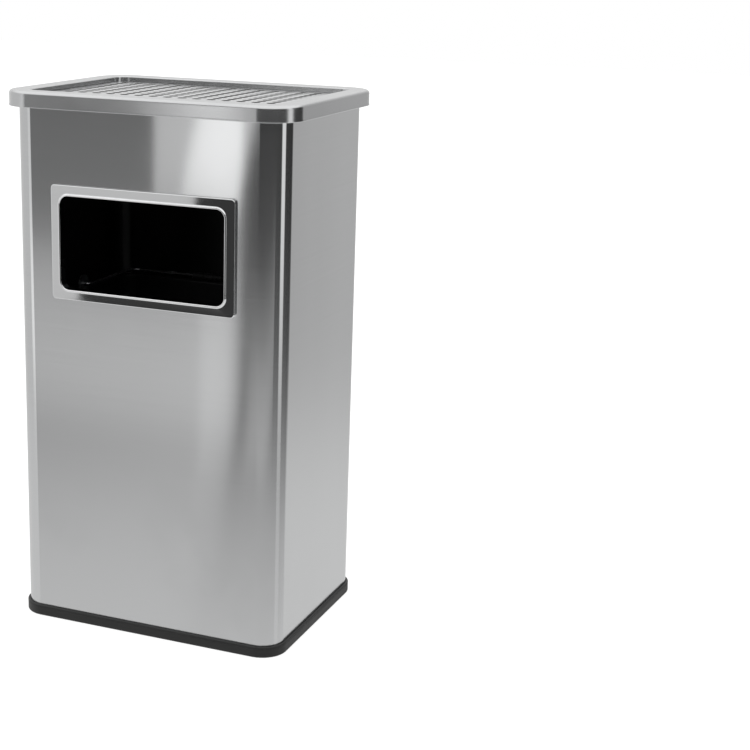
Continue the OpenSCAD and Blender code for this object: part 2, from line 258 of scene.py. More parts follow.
def new_finish(name, **fixed):
    """A material, its Principled shader and the place on the piece."""
    material = bpy.data.materials.new(name)
    material.use_nodes = True
    shader = material.node_tree.nodes["Principled BSDF"]
    for socket, value in fixed.items():
        shader.inputs[socket.replace("_", " ")].default_value = value
    place = Signal(material.node_tree).add("ShaderNodeTexCoord", output="Object")
    return material, shader, place


casing_finish, shader, place = new_finish(
    "brushed_casing_steel", Metallic=1.0, Anisotropic=1.0, Anisotropic_Rotation=0.25)
fine = place.noise((3.0, 3.0, 1500.0), 2.0)
coarse = place.noise((5.0, 5.0, 420.0), 4.0, 0.65)
grain = fine * 0.45 + coarse * 0.55
sheet_wave = place.noise((11.0, 11.0, 1.3), 1.0)
handling = place.noise((9.0, 9.0, 6.0), 4.0, 0.6).rise(0.5, 0.72)


def past_flat(axis, side):
    """How far a place lies past the end of that side's flat, towards the corner."""
    far = place.along(axis)
    past = far.math("ABSOLUTE", far) - (side / 2 - CASING_R)
    return past.math("MAXIMUM", past, 0.0)


across, back = past_flat("X", CASING_W), past_flat("Y", CASING_D)
square = across * across + back * back
inside = (CASING_R - SHEET / 2 - square.math("SQRT", square)).rise(0.0, 0.0002)
brushed = grain.rise(0.25, 0.75).tint((0.634, 0.639, 0.643), (0.652, 0.657, 0.661))
# Painted shade: the sheet's inner face is painted dark grey and made rougher, standing in for the
# shade inside the bin.
PAINTED_SHADE_INSIDE = (0.16, 0.16, 0.16)
inside.tint(brushed, PAINTED_SHADE_INSIDE).feed(shader, "Base Color")
(grain * 0.03 + handling * 0.015 + inside * 0.3 + 0.105).feed(shader, "Roughness")
grain.bump(0.0000012, sheet_wave.bump(0.0002)).feed(shader, "Normal")

casing = loft("brushed_casing", carried(CASING_W, CASING_D, CASING_R, [
    (0, casing_lo.z), (0, casing_hi.z), (SHEET, casing_hi.z), (SHEET, casing_lo.z)], 32))

mouth_lo, mouth_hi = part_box("mouth_bezel")
MOUTH_Z = (mouth_lo.z + mouth_hi.z) / 2
CUT_W, CUT_H, CUT_R = 0.2056, 0.1096, 0.0123


def upright(rings):
    """Stands level rings up at the mouth; their height becomes the way forward."""
    return [[Vector((p.x, FRONT_Y - p.z, MOUTH_Z + p.y)) for p in r] for r in rings]


PUNCH_REACH = 0.004
punch = loft("punch", upright([ring(CUT_W, CUT_H, CUT_R, z)
                               for z in (PUNCH_REACH, -PUNCH_REACH)]), "capped")
pressed = casing.modifiers.new("mouth", "BOOLEAN")
pressed.object, pressed.operation, pressed.solver = punch, "DIFFERENCE", "EXACT"
plain(casing)
bpy.data.objects.remove(punch)

SEAM_W, SEAM_T = 0.007, 0.0008
seam_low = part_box("base_trim")[1].z
seam_side = [(SEAM_W / 2, 0.0), (SEAM_W / 2 - 0.001, SEAM_T * 0.8), (SEAM_W / 2 - 0.002, SEAM_T)]
seam_profile = [(-x, out) for x, out in seam_side] + seam_side[::-1]
seam = loft("seam", [[Vector((x, casing_hi.y - 0.0002 + out, z)) for x, out in seam_profile]
                     for z in (seam_low + 0.0004, casing_hi.z - 0.001)], "capped")
casing = softened(joined("brushed_casing", [softened(casing, 0.0002), softened(seam, 0)]), 0)
settle(casing, "casing", "casing_steel", casing_finish, "casing_shell")

# ---- Mouth bezel ------------------------------------------------------------
# A die-cast frame plated to a mirror. Its flat face carries a proud rounded lip,
# and its sleeve passes through the sheet, so no raw edge is left in the mouth.

BEZEL_W, BEZEL_H = mouth_hi.x - mouth_lo.x, mouth_hi.z - mouth_lo.z
BEZEL_R, BEZEL_T, BEZEL_EDGE = 0.0045, 0.004, 0.0009
OPEN_W, OPEN_H, OPEN_R = 0.201, 0.105, 0.010
LIP_W, LIP_H, SLEEVE_T = 0.0024, 0.0018, 0.0015
sleeve_back = FRONT_Y - mouth_hi.y
bezel_rings = [ring(BEZEL_W - 2 * i, BEZEL_H - 2 * i, BEZEL_R - i, z) for i, z in
               [(0, 0)] + arc(BEZEL_EDGE, BEZEL_T - BEZEL_EDGE, -BEZEL_EDGE, 0, -90, 5)]
lip_crown = arc(LIP_W / 2, BEZEL_T + LIP_H - LIP_W / 2, LIP_W / 2, 0, 180, 10)
bezel_rings += [ring(OPEN_W + 2 * o, OPEN_H + 2 * o, OPEN_R + o, z) for o, z in
                [(LIP_W + 0.0007, BEZEL_T), (LIP_W + 0.0002, BEZEL_T + 0.0002)] + lip_crown
                + [(0, sleeve_back), (SLEEVE_T, sleeve_back), (SLEEVE_T, 0)]]
bezel = softened(loft("chrome_bezel", upright(bezel_rings)), 0.0002)

chrome, shader, place = new_finish("plated_chrome", Metallic=1.0)
wiped = place.noise((14.0, 14.0, 40.0), 4.0, 0.6).rise(0.45, 0.75)
wiped.tint((0.86, 0.865, 0.87), (0.82, 0.825, 0.83)).feed(shader, "Base Color")
(wiped * 0.04 + place.noise((900.0, 900.0, 900.0), 2.0) * 0.015 + 0.03).feed(shader, "Roughness")
place.noise((26.0, 26.0, 26.0), 2.0).bump(0.00004).feed(shader, "Normal")
settle(bezel, "casing", "bezel_chrome", chrome, "mouth_bezel")

# ---- Bezel screws -----------------------------------------------------------
# Six small zinc-plated socket screws. They go in from inside, through the
# retainer ring and the sheet, and draw the bezel up tight.

bezel_screw_lo, bezel_screw_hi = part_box("bezel_screws")


def screw_tree(name):
    """Screws on points: a head with a hex socket, looking along -Z, and its shank."""
    tree = bpy.data.node_groups.new(name, "GeometryNodeTree")
    for label, kind in (("Points", "Geometry"), ("Head radius", "Float"), ("Head height", "Float"),
                        ("Shank radius", "Float"), ("Shank length", "Float"),
                        ("Socket width", "Float"), ("Turn", "Vector"), ("Finish", "Material")):
        tree.interface.new_socket(label, in_out="INPUT", socket_type="NodeSocket" + kind)
    tree.interface.new_socket("Screws", in_out="OUTPUT", socket_type="NodeSocketGeometry")
    sizes = tree.nodes.new("NodeGroupInput")
    given = {s.name: Signal(tree, s) for s in sizes.outputs if s.name}
    start = Signal(tree)

    def rod(vertices, radius, depth, centre):
        bar = start.add("GeometryNodeMeshCylinder", {},
                        {"Vertices": vertices, "Radius": radius, "Depth": depth}, "Mesh")
        at = start.add("ShaderNodeCombineXYZ", {}, {"Z": centre})
        return start.add("GeometryNodeTransform", {}, {"Geometry": bar, "Translation": at})

    head_h = given["Head height"]
    head = rod(32, given["Head radius"], head_h, head_h * 0.5)
    socket = rod(6, given["Socket width"] * 0.577, head_h * 1.2, 0.0)
    sunk = tree.nodes.new("GeometryNodeMeshBoolean")
    sunk.operation = "DIFFERENCE"
    tree.links.new(head.socket, sunk.inputs["Mesh 1"])
    tree.links.new(socket.socket, sunk.inputs["Mesh 2"])
    length = given["Shank length"] + head_h * 0.2
    shank = rod(24, given["Shank radius"], length, head_h * 0.8 + length * 0.5)
    both = tree.nodes.new("GeometryNodeJoinGeometry")
    for part in (Signal(tree, sunk.outputs["Mesh"]), shank):
        tree.links.new(part.socket, both.inputs["Geometry"])
    turn = start.add("FunctionNodeEulerToRotation", {}, {"Euler": given["Turn"]})
    placed = start.add("GeometryNodeInstanceOnPoints", {},
                       {"Points": given["Points"], "Instance": Signal(tree, both.outputs[0]),
                        "Rotation": turn})
    real = start.add("GeometryNodeRealizeInstances", {}, {"Geometry": placed})
    done = start.add("GeometryNodeSetMaterial", {}, {"Geometry": real, "Material": given["Finish"]})
    out = tree.nodes.new("NodeGroupOutput")
    tree.links.new(done.socket, out.inputs[0])
    return tree


def spots(name, points):
    """A mesh of loose points for a tree to put things on."""
    mesh = bpy.data.meshes.new(name)
    mesh.from_pydata([Vector(p) for p in points], [], [])
    return mesh


def grown(name, mesh, tree, **sizes):
    """Runs a tree on a mesh with its named sizes and keeps the plain result."""
    piece = bpy.data.objects.new(name, mesh)
    bpy.context.collection.objects.link(piece)
    grow = piece.modifiers.new("grow", "NODES")
    grow.node_group = tree
    names = {item.name: item.identifier for item in tree.interface.items_tree
             if item.in_out == "INPUT"}
    for label, value in sizes.items():
        grow[names[label.replace("_", " ")]] = value
    return plain(piece)


zinc, shader, place = new_finish("zinc_plate", Metallic=1.0)
bloom = place.noise((160.0, 160.0, 160.0), 3.0)
bloom.tint((0.52, 0.53, 0.55), (0.70, 0.70, 0.71)).feed(shader, "Base Color")
(bloom * 0.2 + 0.2).feed(shader, "Roughness")
place.noise((2500.0, 2500.0, 2500.0), 2.0).bump(0.00001).feed(shader, "Normal")

BEZEL_HEAD_R, BEZEL_SHANK_R, BEZEL_HEAD_H = 0.0028, 0.0015, 0.0018
screw_x = bezel_screw_hi.x - BEZEL_HEAD_R
screw_z = (bezel_screw_hi.z - bezel_screw_lo.z) / 2 - BEZEL_HEAD_R
screws = screw_tree("screws")
bezel_screws = grown(
    "bezel_screws_zinc",
    spots("bezel_spots", [(x * screw_x, bezel_screw_hi.y, MOUTH_Z + z * screw_z)
                          for x in (-1, 0, 1) for z in (-1, 1)]),
    screws, Head_radius=BEZEL_HEAD_R, Head_height=BEZEL_HEAD_H, Shank_radius=BEZEL_SHANK_R,
    Shank_length=bezel_screw_hi.y - bezel_screw_lo.y - BEZEL_HEAD_H, Socket_width=0.002,
    Turn=(math.radians(90), 0.0, 0.0), Finish=zinc)
settle(softened(tidy(bezel_screws), 0.00025), "casing", "zinc_fasteners", zinc, "bezel_screws")

# ---- Bezel retainer, liner stops and bail ears ----------------------------------
# Plain galvanised pressings: a ring behind the front sheet that takes the bezel
# screws, eight folded stops welded to the floor, and two ears on the liner. The
# frame's own shapes are right for these, so only their finish is set.

galvanised, shader, place = new_finish("galvanised_sheet", Metallic=1.0)
spangle = place.add("ShaderNodeTexVoronoi", {}, {"Vector": place, "Scale": 140.0}, "Color")
flower = spangle.add("ShaderNodeSeparateColor", {}, {"Color": spangle}, "Red")
flower.tint((0.40, 0.42, 0.43), (0.60, 0.62, 0.63)).feed(shader, "Base Color")
(flower * 0.18 + place.noise((60.0, 60.0, 60.0)) * 0.1 + 0.25).feed(shader, "Roughness")
flower.bump(0.00002).feed(shader, "Normal")


def refinish(node, finish):
    """Gives a frame node that stays a better material."""
    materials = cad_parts[node].data.materials
    materials.clear()
    materials.append(finish)


for kept in ("bezel_retainer", "liner_stops", "bail_ears"):
    refinish(kept, galvanised)

# ---- Floor pan ----------------------------------------------------------------
# A pressed galvanised floor. Its turned-up flange is spot-welded to the casing,
# and the screws of the base trim come up through it.

pan_lo, pan_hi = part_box("floor_pan")
FOLD = 0.0015
floor_size = (pan_hi.x - pan_lo.x, pan_hi.y - pan_lo.y, CASING_R - SHEET)
floor_profile = (arc(FOLD, pan_lo.z + FOLD, FOLD, -90, -180, 4)
                 + [(0, pan_hi.z), (SHEET, pan_hi.z)]
                 + arc(FOLD, pan_lo.z + FOLD, FOLD - SHEET, -180, -90, 3))
floor_pressing = softened(loft("floor_pressing", carried(*floor_size, floor_profile), "capped"),
                          0.0002)
settle(floor_pressing, "casing", "galvanised", galvanised, "floor_pan")

# ---- Base trim ----------------------------------------------------------------
# One ring of black moulded rubber. A soft lip hugs the sheet outside, a shallow
# groove runs under it, and a web goes in under the floor for the screws.

trim_lo, trim_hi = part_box("base_trim")
TRIM_W, TRIM_D = trim_hi.x - trim_lo.x, trim_hi.y - trim_lo.y
TRIM_OUT = (TRIM_W - CASING_W) / 2
TRIM_WEB, WEB_REACH, WEB_R = 0.005, 0.024, 0.015
top, groove = trim_hi.z, trim_hi.z - 0.0026
trim_profile = ([(0.0022, 0.0)] + arc(0.0018, 0.0018, 0.0018, -90, -180, 5)
                + [(0, groove - 0.0005), (0.00035, groove - 0.0002), (0.00035, groove + 0.0002),
                   (0, groove + 0.0005)]
                + arc(0.001, top - 0.001, 0.001, 180, 90, 4)
                + [(TRIM_OUT - 0.0006, top), (TRIM_OUT, top - 0.0006), (TRIM_OUT, TRIM_WEB)])
trim_rings = carried(TRIM_W, TRIM_D, CASING_R + TRIM_OUT, trim_profile, 28)
web_inner = (CASING_W - 2 * WEB_REACH, CASING_D - 2 * WEB_REACH, WEB_R)
trim_rings += [ring(*web_inner, TRIM_WEB, 28), ring(*web_inner, 0.0, 28)]
trim = softened(loft("rubber_trim", trim_rings), 0)

rubber, shader, place = new_finish("black_rubber", Metallic=0.0)
bloom = place.noise((30.0, 30.0, 60.0), 4.0, 0.6)
scuffs = place.noise((260.0, 260.0, 60.0), 4.0, 0.7).rise(0.62, 0.78)
worn = scuffs * (1 - place.along("Z").rise(0.0, 0.009))
(bloom * 0.7 + worn).tint((0.010, 0.010, 0.010), (0.032, 0.032, 0.031)).feed(shader, "Base Color")
(bloom * 0.15 + worn * 0.2 + 0.42).feed(shader, "Roughness")
place.noise((1100.0, 1100.0, 1100.0), 3.0).bump(0.00006).feed(shader, "Normal")
settle(trim, "casing", "trim_rubber", rubber, "base_trim")

# ---- Base screws and weld nuts ------------------------------------------------
# Six zinc-plated screws go up through the web and the floor into hexagon nuts
# that are welded to the floor inside.

base_lo, base_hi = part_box("base_screws")
BASE_HEAD_R, BASE_HEAD_H, BASE_SHANK_R = 0.0048, 0.0025, 0.0025
side_x, end_y = base_hi.x - BASE_HEAD_R, base_hi.y - BASE_HEAD_R
base_points = [(sx * side_x, sy * CASING_D / 4, base_lo.z) for sx in (-1, 1) for sy in (-1, 1)]
base_points += [(0, -end_y, base_lo.z), (0, end_y, base_lo.z)]
base_screws = grown(
    "base_screws_zinc", spots("base_spots", base_points), screws,
    Head_radius=BASE_HEAD_R, Head_height=BASE_HEAD_H, Shank_radius=BASE_SHANK_R,
    Shank_length=base_hi.z - base_lo.z - BASE_HEAD_H, Socket_width=0.0032,
    Turn=(0.0, 0.0, 0.0), Finish=zinc)
settle(softened(tidy(base_screws), 0.0004), "casing", "zinc_fasteners", zinc, "base_screws")
refinish("weld_nuts", zinc)

# ---- Top frame and lid collar -------------------------------------------------
# Mill-finish steel strip. The frame is an angle welded inside the casing's top
# edge; the collar is welded under the lid and drops through it.

mill, shader, place = new_finish("mill_steel", Metallic=1.0)
rolled = place.noise((20.0, 20.0, 300.0), 3.0)
cloudy = place.noise((45.0, 45.0, 45.0), 4.0)
(rolled * 0.4 + cloudy * 0.6).tint(
    (0.40, 0.41, 0.42), (0.58, 0.59, 0.60)).feed(shader, "Base Color")
(cloudy * 0.2 + 0.28).feed(shader, "Roughness")
rolled.bump(0.00002).feed(shader, "Normal")

ANGLE_T, LID_RIM, LID_OVER = 0.0015, 0.024, 0.011
top_lo, top_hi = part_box("top_frame")
collar_lo, collar_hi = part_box("lid_collar")
LID_R = CASING_R + LID_OVER
RECESS_R = LID_R - LID_RIM
collar_w, collar_d = collar_hi.x - collar_lo.x, collar_hi.y - collar_lo.y
collar_r = RECESS_R + 0.0027
frame_open = (collar_w + 0.0022, collar_d + 0.0022, collar_r + 0.0011)
frame_rings = carried(top_hi.x - top_lo.x, top_hi.y - top_lo.y, CASING_R - SHEET, [
    (0, top_lo.z), (0, top_hi.z - 0.001), (0.0003, top_hi.z - 0.0003), (0.001, top_hi.z)])
frame_rings += [ring(*frame_open, top_hi.z), ring(*frame_open, top_hi.z - ANGLE_T)]
frame_rings += carried(top_hi.x - top_lo.x, top_hi.y - top_lo.y, CASING_R - SHEET, [
    (ANGLE_T, top_hi.z - ANGLE_T), (ANGLE_T, top_lo.z)])
top_frame = softened(loft("top_angle", frame_rings), 0.0003)
settle(top_frame, "casing", "mill_steel", mill, "top_frame")
collar = softened(loft("collar_strip", carried(collar_w, collar_d, collar_r, [
    (0, collar_lo.z), (0, collar_hi.z), (ANGLE_T, collar_hi.z), (ANGLE_T, collar_lo.z)])), 0.0004)
settle(collar, "lid", "mill_steel", mill, "lid_collar")

# ---- Lid ----------------------------------------------------------------------
# One pressing of satin stainless: a skirt with a hemmed lower edge, a rounded
# shoulder, a flat rim, and a shallow recess with a ledge for pan and grille.

lid_lo, lid_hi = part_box("lid_frame")
grille_lo, grille_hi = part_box("ash_grille")
ash_lo, ash_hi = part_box("ash_pan")
LID_W, LID_D = lid_hi.x - lid_lo.x, lid_hi.y - lid_lo.y
SHOULDER, LIP_ROUND, LEDGE = 0.004, 0.0018, 0.009
ledge_z = ash_hi.z - SHEET
crown = lid_hi.z
well = LID_RIM
lid_profile = (
    [(0.0, lid_lo.z + 0.0022), (-0.0004, lid_lo.z + 0.0013), (-0.0004, lid_lo.z + 0.0005),
     (0.0, lid_lo.z), (0.0010, lid_lo.z), (0.0014, lid_lo.z + 0.0005),
     (SHEET, lid_lo.z + 0.0022)]
    + arc(SHOULDER, crown - SHOULDER, -(SHOULDER - SHEET), 0, -90, 6)
    + arc(well - LIP_ROUND, crown - LIP_ROUND, LIP_ROUND - SHEET, 90, 0, 3)
    + [(well - SHEET, ledge_z - SHEET), (well + LEDGE - 0.0004, ledge_z - SHEET),
       (well + LEDGE, ledge_z - 0.0008), (well + LEDGE, ledge_z - 0.0004),
       (well + LEDGE - 0.0004, ledge_z)]
    + arc(well + 0.0008, ledge_z + 0.0008, 0.0008, -90, -180, 3)
    + arc(well - LIP_ROUND, crown - LIP_ROUND, LIP_ROUND, 0, 90, 6)
    + arc(SHOULDER, crown - SHOULDER, -SHOULDER, -90, 0, 9))
lid = softened(loft("satin_lid", carried(LID_W, LID_D, LID_R, lid_profile, 28)), 0)

satin, shader, place = new_finish("satin_lid_steel", Metallic=1.0, Anisotropic=0.45,
                                  Anisotropic_Rotation=0.25)
girth = place.noise((8.0, 8.0, 1600.0), 3.0)
cross = place.noise((30.0, 1500.0, 30.0), 3.0)
satin_grain = girth * 0.5 + cross * 0.5
rubbed = place.noise((14.0, 14.0, 14.0), 5.0, 0.6)
(satin_grain * 0.4 + rubbed * 0.6).rise(0.3, 0.7).tint(
    (0.60, 0.605, 0.61), (0.65, 0.655, 0.66)).feed(shader, "Base Color")
(rubbed * 0.06 + satin_grain * 0.02 + 0.20).feed(shader, "Roughness")
satin_grain.bump(0.000002, rubbed.bump(0.00004)).feed(shader, "Normal")
settle(lid, "lid", "lid_steel", satin, "lid_frame")

# ---- Ash grille ---------------------------------------------------------------
# A perforated stainless sheet lying loose in the recess. The punch has rolled
# the upper edge of every hole a little. Below the top face, on the hole walls
# and the underside, the sheet is painted near black: painted shade.

COLUMNS, ROWS, PITCH_X, PITCH_Y = 16, 13, 0.018, 0.015
HOLE_R, ROLL = 0.005, 0.0007
GRILLE_T, GRILLE_R = grille_hi.z - grille_lo.z, RECESS_R - 0.0015


def perforated_tree():
    """A sheet with a lattice of holes, in three layers that meet at the rolled edges."""
    tree = bpy.data.node_groups.new("perforated", "GeometryNodeTree")
    for label, kind in (("Rolled edge", "Geometry"), ("Width", "Float"), ("Depth", "Float"),
                        ("Corner radius", "Float"), ("Thickness", "Float"), ("Top", "Float"),
                        ("Columns", "Int"), ("Rows", "Int"), ("Pitch across", "Float"),
                        ("Pitch back", "Float"), ("Hole radius", "Float"), ("Roll", "Float"),
                        ("Hole sides", "Int"), ("Finish", "Material")):
        tree.interface.new_socket(label, in_out="INPUT", socket_type="NodeSocket" + kind)
    tree.interface.new_socket("Sheet", in_out="OUTPUT", socket_type="NodeSocketGeometry")
    sizes = tree.nodes.new("NodeGroupInput")
    given = {s.name: Signal(tree, s) for s in sizes.outputs if s.name}
    start = Signal(tree)
    lattice = start.add("GeometryNodeMeshGrid", {}, {
        "Size X": (given["Columns"] - 1) * given["Pitch across"],
        "Size Y": (given["Rows"] - 1) * given["Pitch back"],
        "Vertices X": given["Columns"], "Vertices Y": given["Rows"]}, "Mesh")
    blank = start.add("GeometryNodeCurvePrimitiveQuadrilateral", {},
                      {"Width": given["Width"], "Height": given["Depth"]})
    outline = start.add("GeometryNodeFilletCurve", {"mode": "POLY"},
                        {"Curve": blank, "Count": 12, "Radius": given["Corner radius"]})

    def gather(*parts):
        both = tree.nodes.new("GeometryNodeJoinGeometry")
        for part in parts:
            tree.links.new(part.socket, both.inputs["Geometry"])
        return Signal(tree, both.outputs[0])

    def raised(part, z):
        up = start.add("ShaderNodeCombineXYZ", {}, {"Z": z})
        return start.add("GeometryNodeTransform", {}, {"Geometry": part, "Translation": up})

    def face(radius, z):
        circle = start.add("GeometryNodeCurvePrimitiveCircle", {},
                           {"Resolution": given["Hole sides"], "Radius": radius}, "Curve")
        holes = start.add("GeometryNodeInstanceOnPoints", {},
                          {"Points": lattice, "Instance": circle})
        real = start.add("GeometryNodeRealizeInstances", {}, {"Geometry": holes})
        return raised(start.add("GeometryNodeFillCurve", {}, {"Curve": gather(outline, real)}), z)

    low = given["Top"] - given["Thickness"]
    edges = start.add("GeometryNodeInstanceOnPoints", {},
                      {"Points": lattice, "Instance": given["Rolled edge"]})
    rim = start.add("GeometryNodeCurveToMesh", {}, {"Curve": outline})
    drop = start.add("ShaderNodeCombineXYZ", {}, {"Z": given["Thickness"]})
    skirt = start.add("GeometryNodeExtrudeMesh", {"mode": "EDGES"},
                      {"Mesh": rim, "Offset": drop, "Offset Scale": 1.0}, "Mesh")
    whole = gather(face(given["Hole radius"] + given["Roll"], given["Top"]),
                   face(given["Hole radius"], low), raised(edges, given["Top"]), raised(skirt, low))
    real = start.add("GeometryNodeRealizeInstances", {}, {"Geometry": whole})
    done = start.add("GeometryNodeSetMaterial", {}, {"Geometry": real, "Material": given["Finish"]})
    out = tree.nodes.new("NodeGroupOutput")
    tree.links.new(done.socket, out.inputs[0])
    return tree


def turned(name, stations, steps=24, axis="X", at=(0, 0, 0)):
    """A turned piece: rings of (distance along the axis, radius), capped."""
    rings = []
    for far, r in stations:
        circle = [(r * math.cos(2 * math.pi * i / steps), r * math.sin(2 * math.pi * i / steps))
                  for i in range(steps)]
        rings.append([Vector((far, a, b) if axis == "X" else (a, b, far)) + Vector(at)
                      for a, b in circle])
    return loft(name, rings, "capped")


grille_steel, shader, place = new_finish("perforated_steel", Metallic=1.0)
sheen = place.noise((1200.0, 40.0, 40.0), 3.0)
smoke = place.noise((22.0, 22.0, 22.0), 4.0, 0.6)
web_colour = (sheen * 0.4 + smoke * 0.6).rise(0.3, 0.7).tint(
    (0.62, 0.625, 0.63), (0.72, 0.725, 0.73))
# Painted shade: everything more than 0.2 mm below the top face is painted near black and made
# rougher.
below_top = (grille_hi.z - place.along("Z")).rise(0.0, 0.0002)
PAINTED_SHADE_BELOW_TOP = (0.025, 0.024, 0.023)
below_top.tint(web_colour, PAINTED_SHADE_BELOW_TOP).feed(shader, "Base Color")
(smoke * 0.1 + below_top * 0.25 + 0.2).feed(shader, "Roughness")
sheen.bump(0.000003).feed(shader, "Normal")

HOLE_SIDES = 20
roll_rings = []
for out, z in [(ROLL - ROLL * math.sin(t), -ROLL + ROLL * math.cos(t))
               for t in (math.radians(30 * k) for k in range(4))] + [(0.0, -GRILLE_T)]:
    turns = [2 * math.pi * i / HOLE_SIDES for i in range(HOLE_SIDES)]
    roll_rings.append([Vector(((HOLE_R + out) * math.cos(a), (HOLE_R + out) * math.sin(a), z))
                       for a in turns])
grille = grown(
    "perforated_grille", skin("rolled_edge", roll_rings, "open"), perforated_tree(),
    Width=grille_hi.x - grille_lo.x, Depth=grille_hi.y - grille_lo.y,
    Corner_radius=GRILLE_R, Thickness=GRILLE_T, Top=grille_hi.z, Columns=COLUMNS,
    Rows=ROWS, Pitch_across=PITCH_X, Pitch_back=PITCH_Y, Hole_radius=HOLE_R, Roll=ROLL,
    Hole_sides=HOLE_SIDES, Finish=grille_steel)
settle(softened(tidy(grille), 0), "grille", "grille_steel", grille_steel, "ash_grille")

# ---- Ash pan ------------------------------------------------------------------
# A drawn stainless tray under the grille. Its flange lies on the lid's ledge and
# its floor is stained where ash and stubs have lain.

PAN_IN = 0.0105
PAN_W, PAN_D = 2 * (lid_hi.x - LID_RIM - PAN_IN), 2 * (lid_hi.y - LID_RIM - PAN_IN)
PAN_FOLD, PAN_LEAST_R = 0.003, 0.0012
flange_w, flange_d = ash_hi.x - ash_lo.x, ash_hi.y - ash_lo.y
flange_in = (flange_w - PAN_W) / 2
pan_profile = ([(flange_in + PAN_FOLD, ash_lo.z)]
               + arc(flange_in + PAN_FOLD, ash_lo.z + PAN_FOLD, PAN_FOLD, -100, -180, 4)
               + [(flange_in, ash_hi.z - SHEET), (0, ash_hi.z - SHEET), (0, ash_hi.z)]
               + arc(flange_in, ash_hi.z - SHEET, SHEET, 90, 0, 4)
               + arc(flange_in + PAN_FOLD, ash_lo.z + PAN_FOLD, PAN_FOLD - SHEET, -180, -90, 4))
pan_rings = [ring(flange_w - 2 * inset, flange_d - 2 * inset,
                  max(GRILLE_R - inset, PAN_LEAST_R), z, 16) for inset, z in pan_profile]
pan = softened(loft("drawn_pan", pan_rings, "capped"), 0.0002)

pan_steel, shader, place = new_finish("dull_pan_steel", Metallic=1.0)
ash = place.noise((26.0, 26.0, 26.0), 6.0, 0.65)
flecks = place.noise((420.0, 420.0, 420.0), 3.0, 0.6).rise(0.6, 0.7)
stain = ash.rise(0.45, 0.7)
(stain * 0.8 + flecks * 0.2).tint(
    (0.36, 0.365, 0.37), (0.12, 0.115, 0.11)).feed(shader, "Base Color")
(stain * 0.25 + 0.33).feed(shader, "Roughness")
ash.bump(0.0001).feed(shader, "Normal")
settle(pan, "pan", "pan_steel", pan_steel, "ash_pan")

# ---- Liner --------------------------------------------------------------------
# A powder-coated steel bucket. Its edge is rolled outwards round a wire, and its
# pressed bottom is let in above the wall's lower edge.

liner_lo, liner_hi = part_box("liner_wall")
bottom_lo, bottom_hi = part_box("liner_bottom")
BEAD_R, BEAD_OUT, LINER_R = 0.0032, 0.0020, 0.020
LINER_W = liner_hi.x - liner_lo.x - 2 * (BEAD_OUT + BEAD_R)
LINER_D = liner_hi.y - liner_lo.y - 2 * (BEAD_OUT + BEAD_R)
bead_z = liner_hi.z - BEAD_R
bead = arc(-BEAD_OUT, bead_z, BEAD_R, 0, 308, 26)
liner_profile = ([(0, liner_lo.z), (SHEET, liner_lo.z), (SHEET, bead_z - 0.001)]
                 + bead[:-1] + [(0, bead[-1][1])])
liner_wall = softened(loft("coated_liner", carried(LINER_W, LINER_D, LINER_R, liner_profile)), 0)

FOOT = 0.002
bottom_profile = ([(SHEET, bottom_lo.z), (0, bottom_lo.z)]
                  + arc(FOOT, bottom_hi.z - FOOT, FOOT, 180, 90, 4))
under_profile = arc(FOOT, bottom_hi.z - FOOT, FOOT - SHEET, 90, 180, 3)
bottom_size = (bottom_hi.x - bottom_lo.x, bottom_hi.y - bottom_lo.y, LINER_R - SHEET)
liner_bottom = softened(loft(
    "coated_bottom", carried(*bottom_size, bottom_profile[::-1] + under_profile[::-1]),
    "capped"), 0.0002)

coat, shader, place = new_finish("black_powder_coat", Metallic=0.0)
peel = place.noise((1000.0, 1000.0, 1000.0), 2.0)
rubs = place.noise((60.0, 60.0, 8.0), 5.0, 0.7).rise(0.6, 0.8)
rubs.tint((0.022, 0.022, 0.024), (0.075, 0.075, 0.078)).feed(shader, "Base Color")
(peel * 0.1 + rubs * 0.15 + 0.36).feed(shader, "Roughness")
peel.bump(0.00005).feed(shader, "Normal")
settle(liner_wall, "liner", "liner_black", coat, "liner_wall")
settle(liner_bottom, "liner", "liner_black", coat, "liner_bottom")

# ---- Ear rivets ---------------------------------------------------------------
# Two domed steel rivets hold each pressed ear to the liner's end wall.

rivet_lo, rivet_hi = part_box("ear_rivets")
ear_lo, ear_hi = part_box("bail_ears")
RIVET_R, RIVET_HEAD_R, RIVET_HEAD_H, EAR_T = 0.002, 0.0038, 0.0014, 0.002


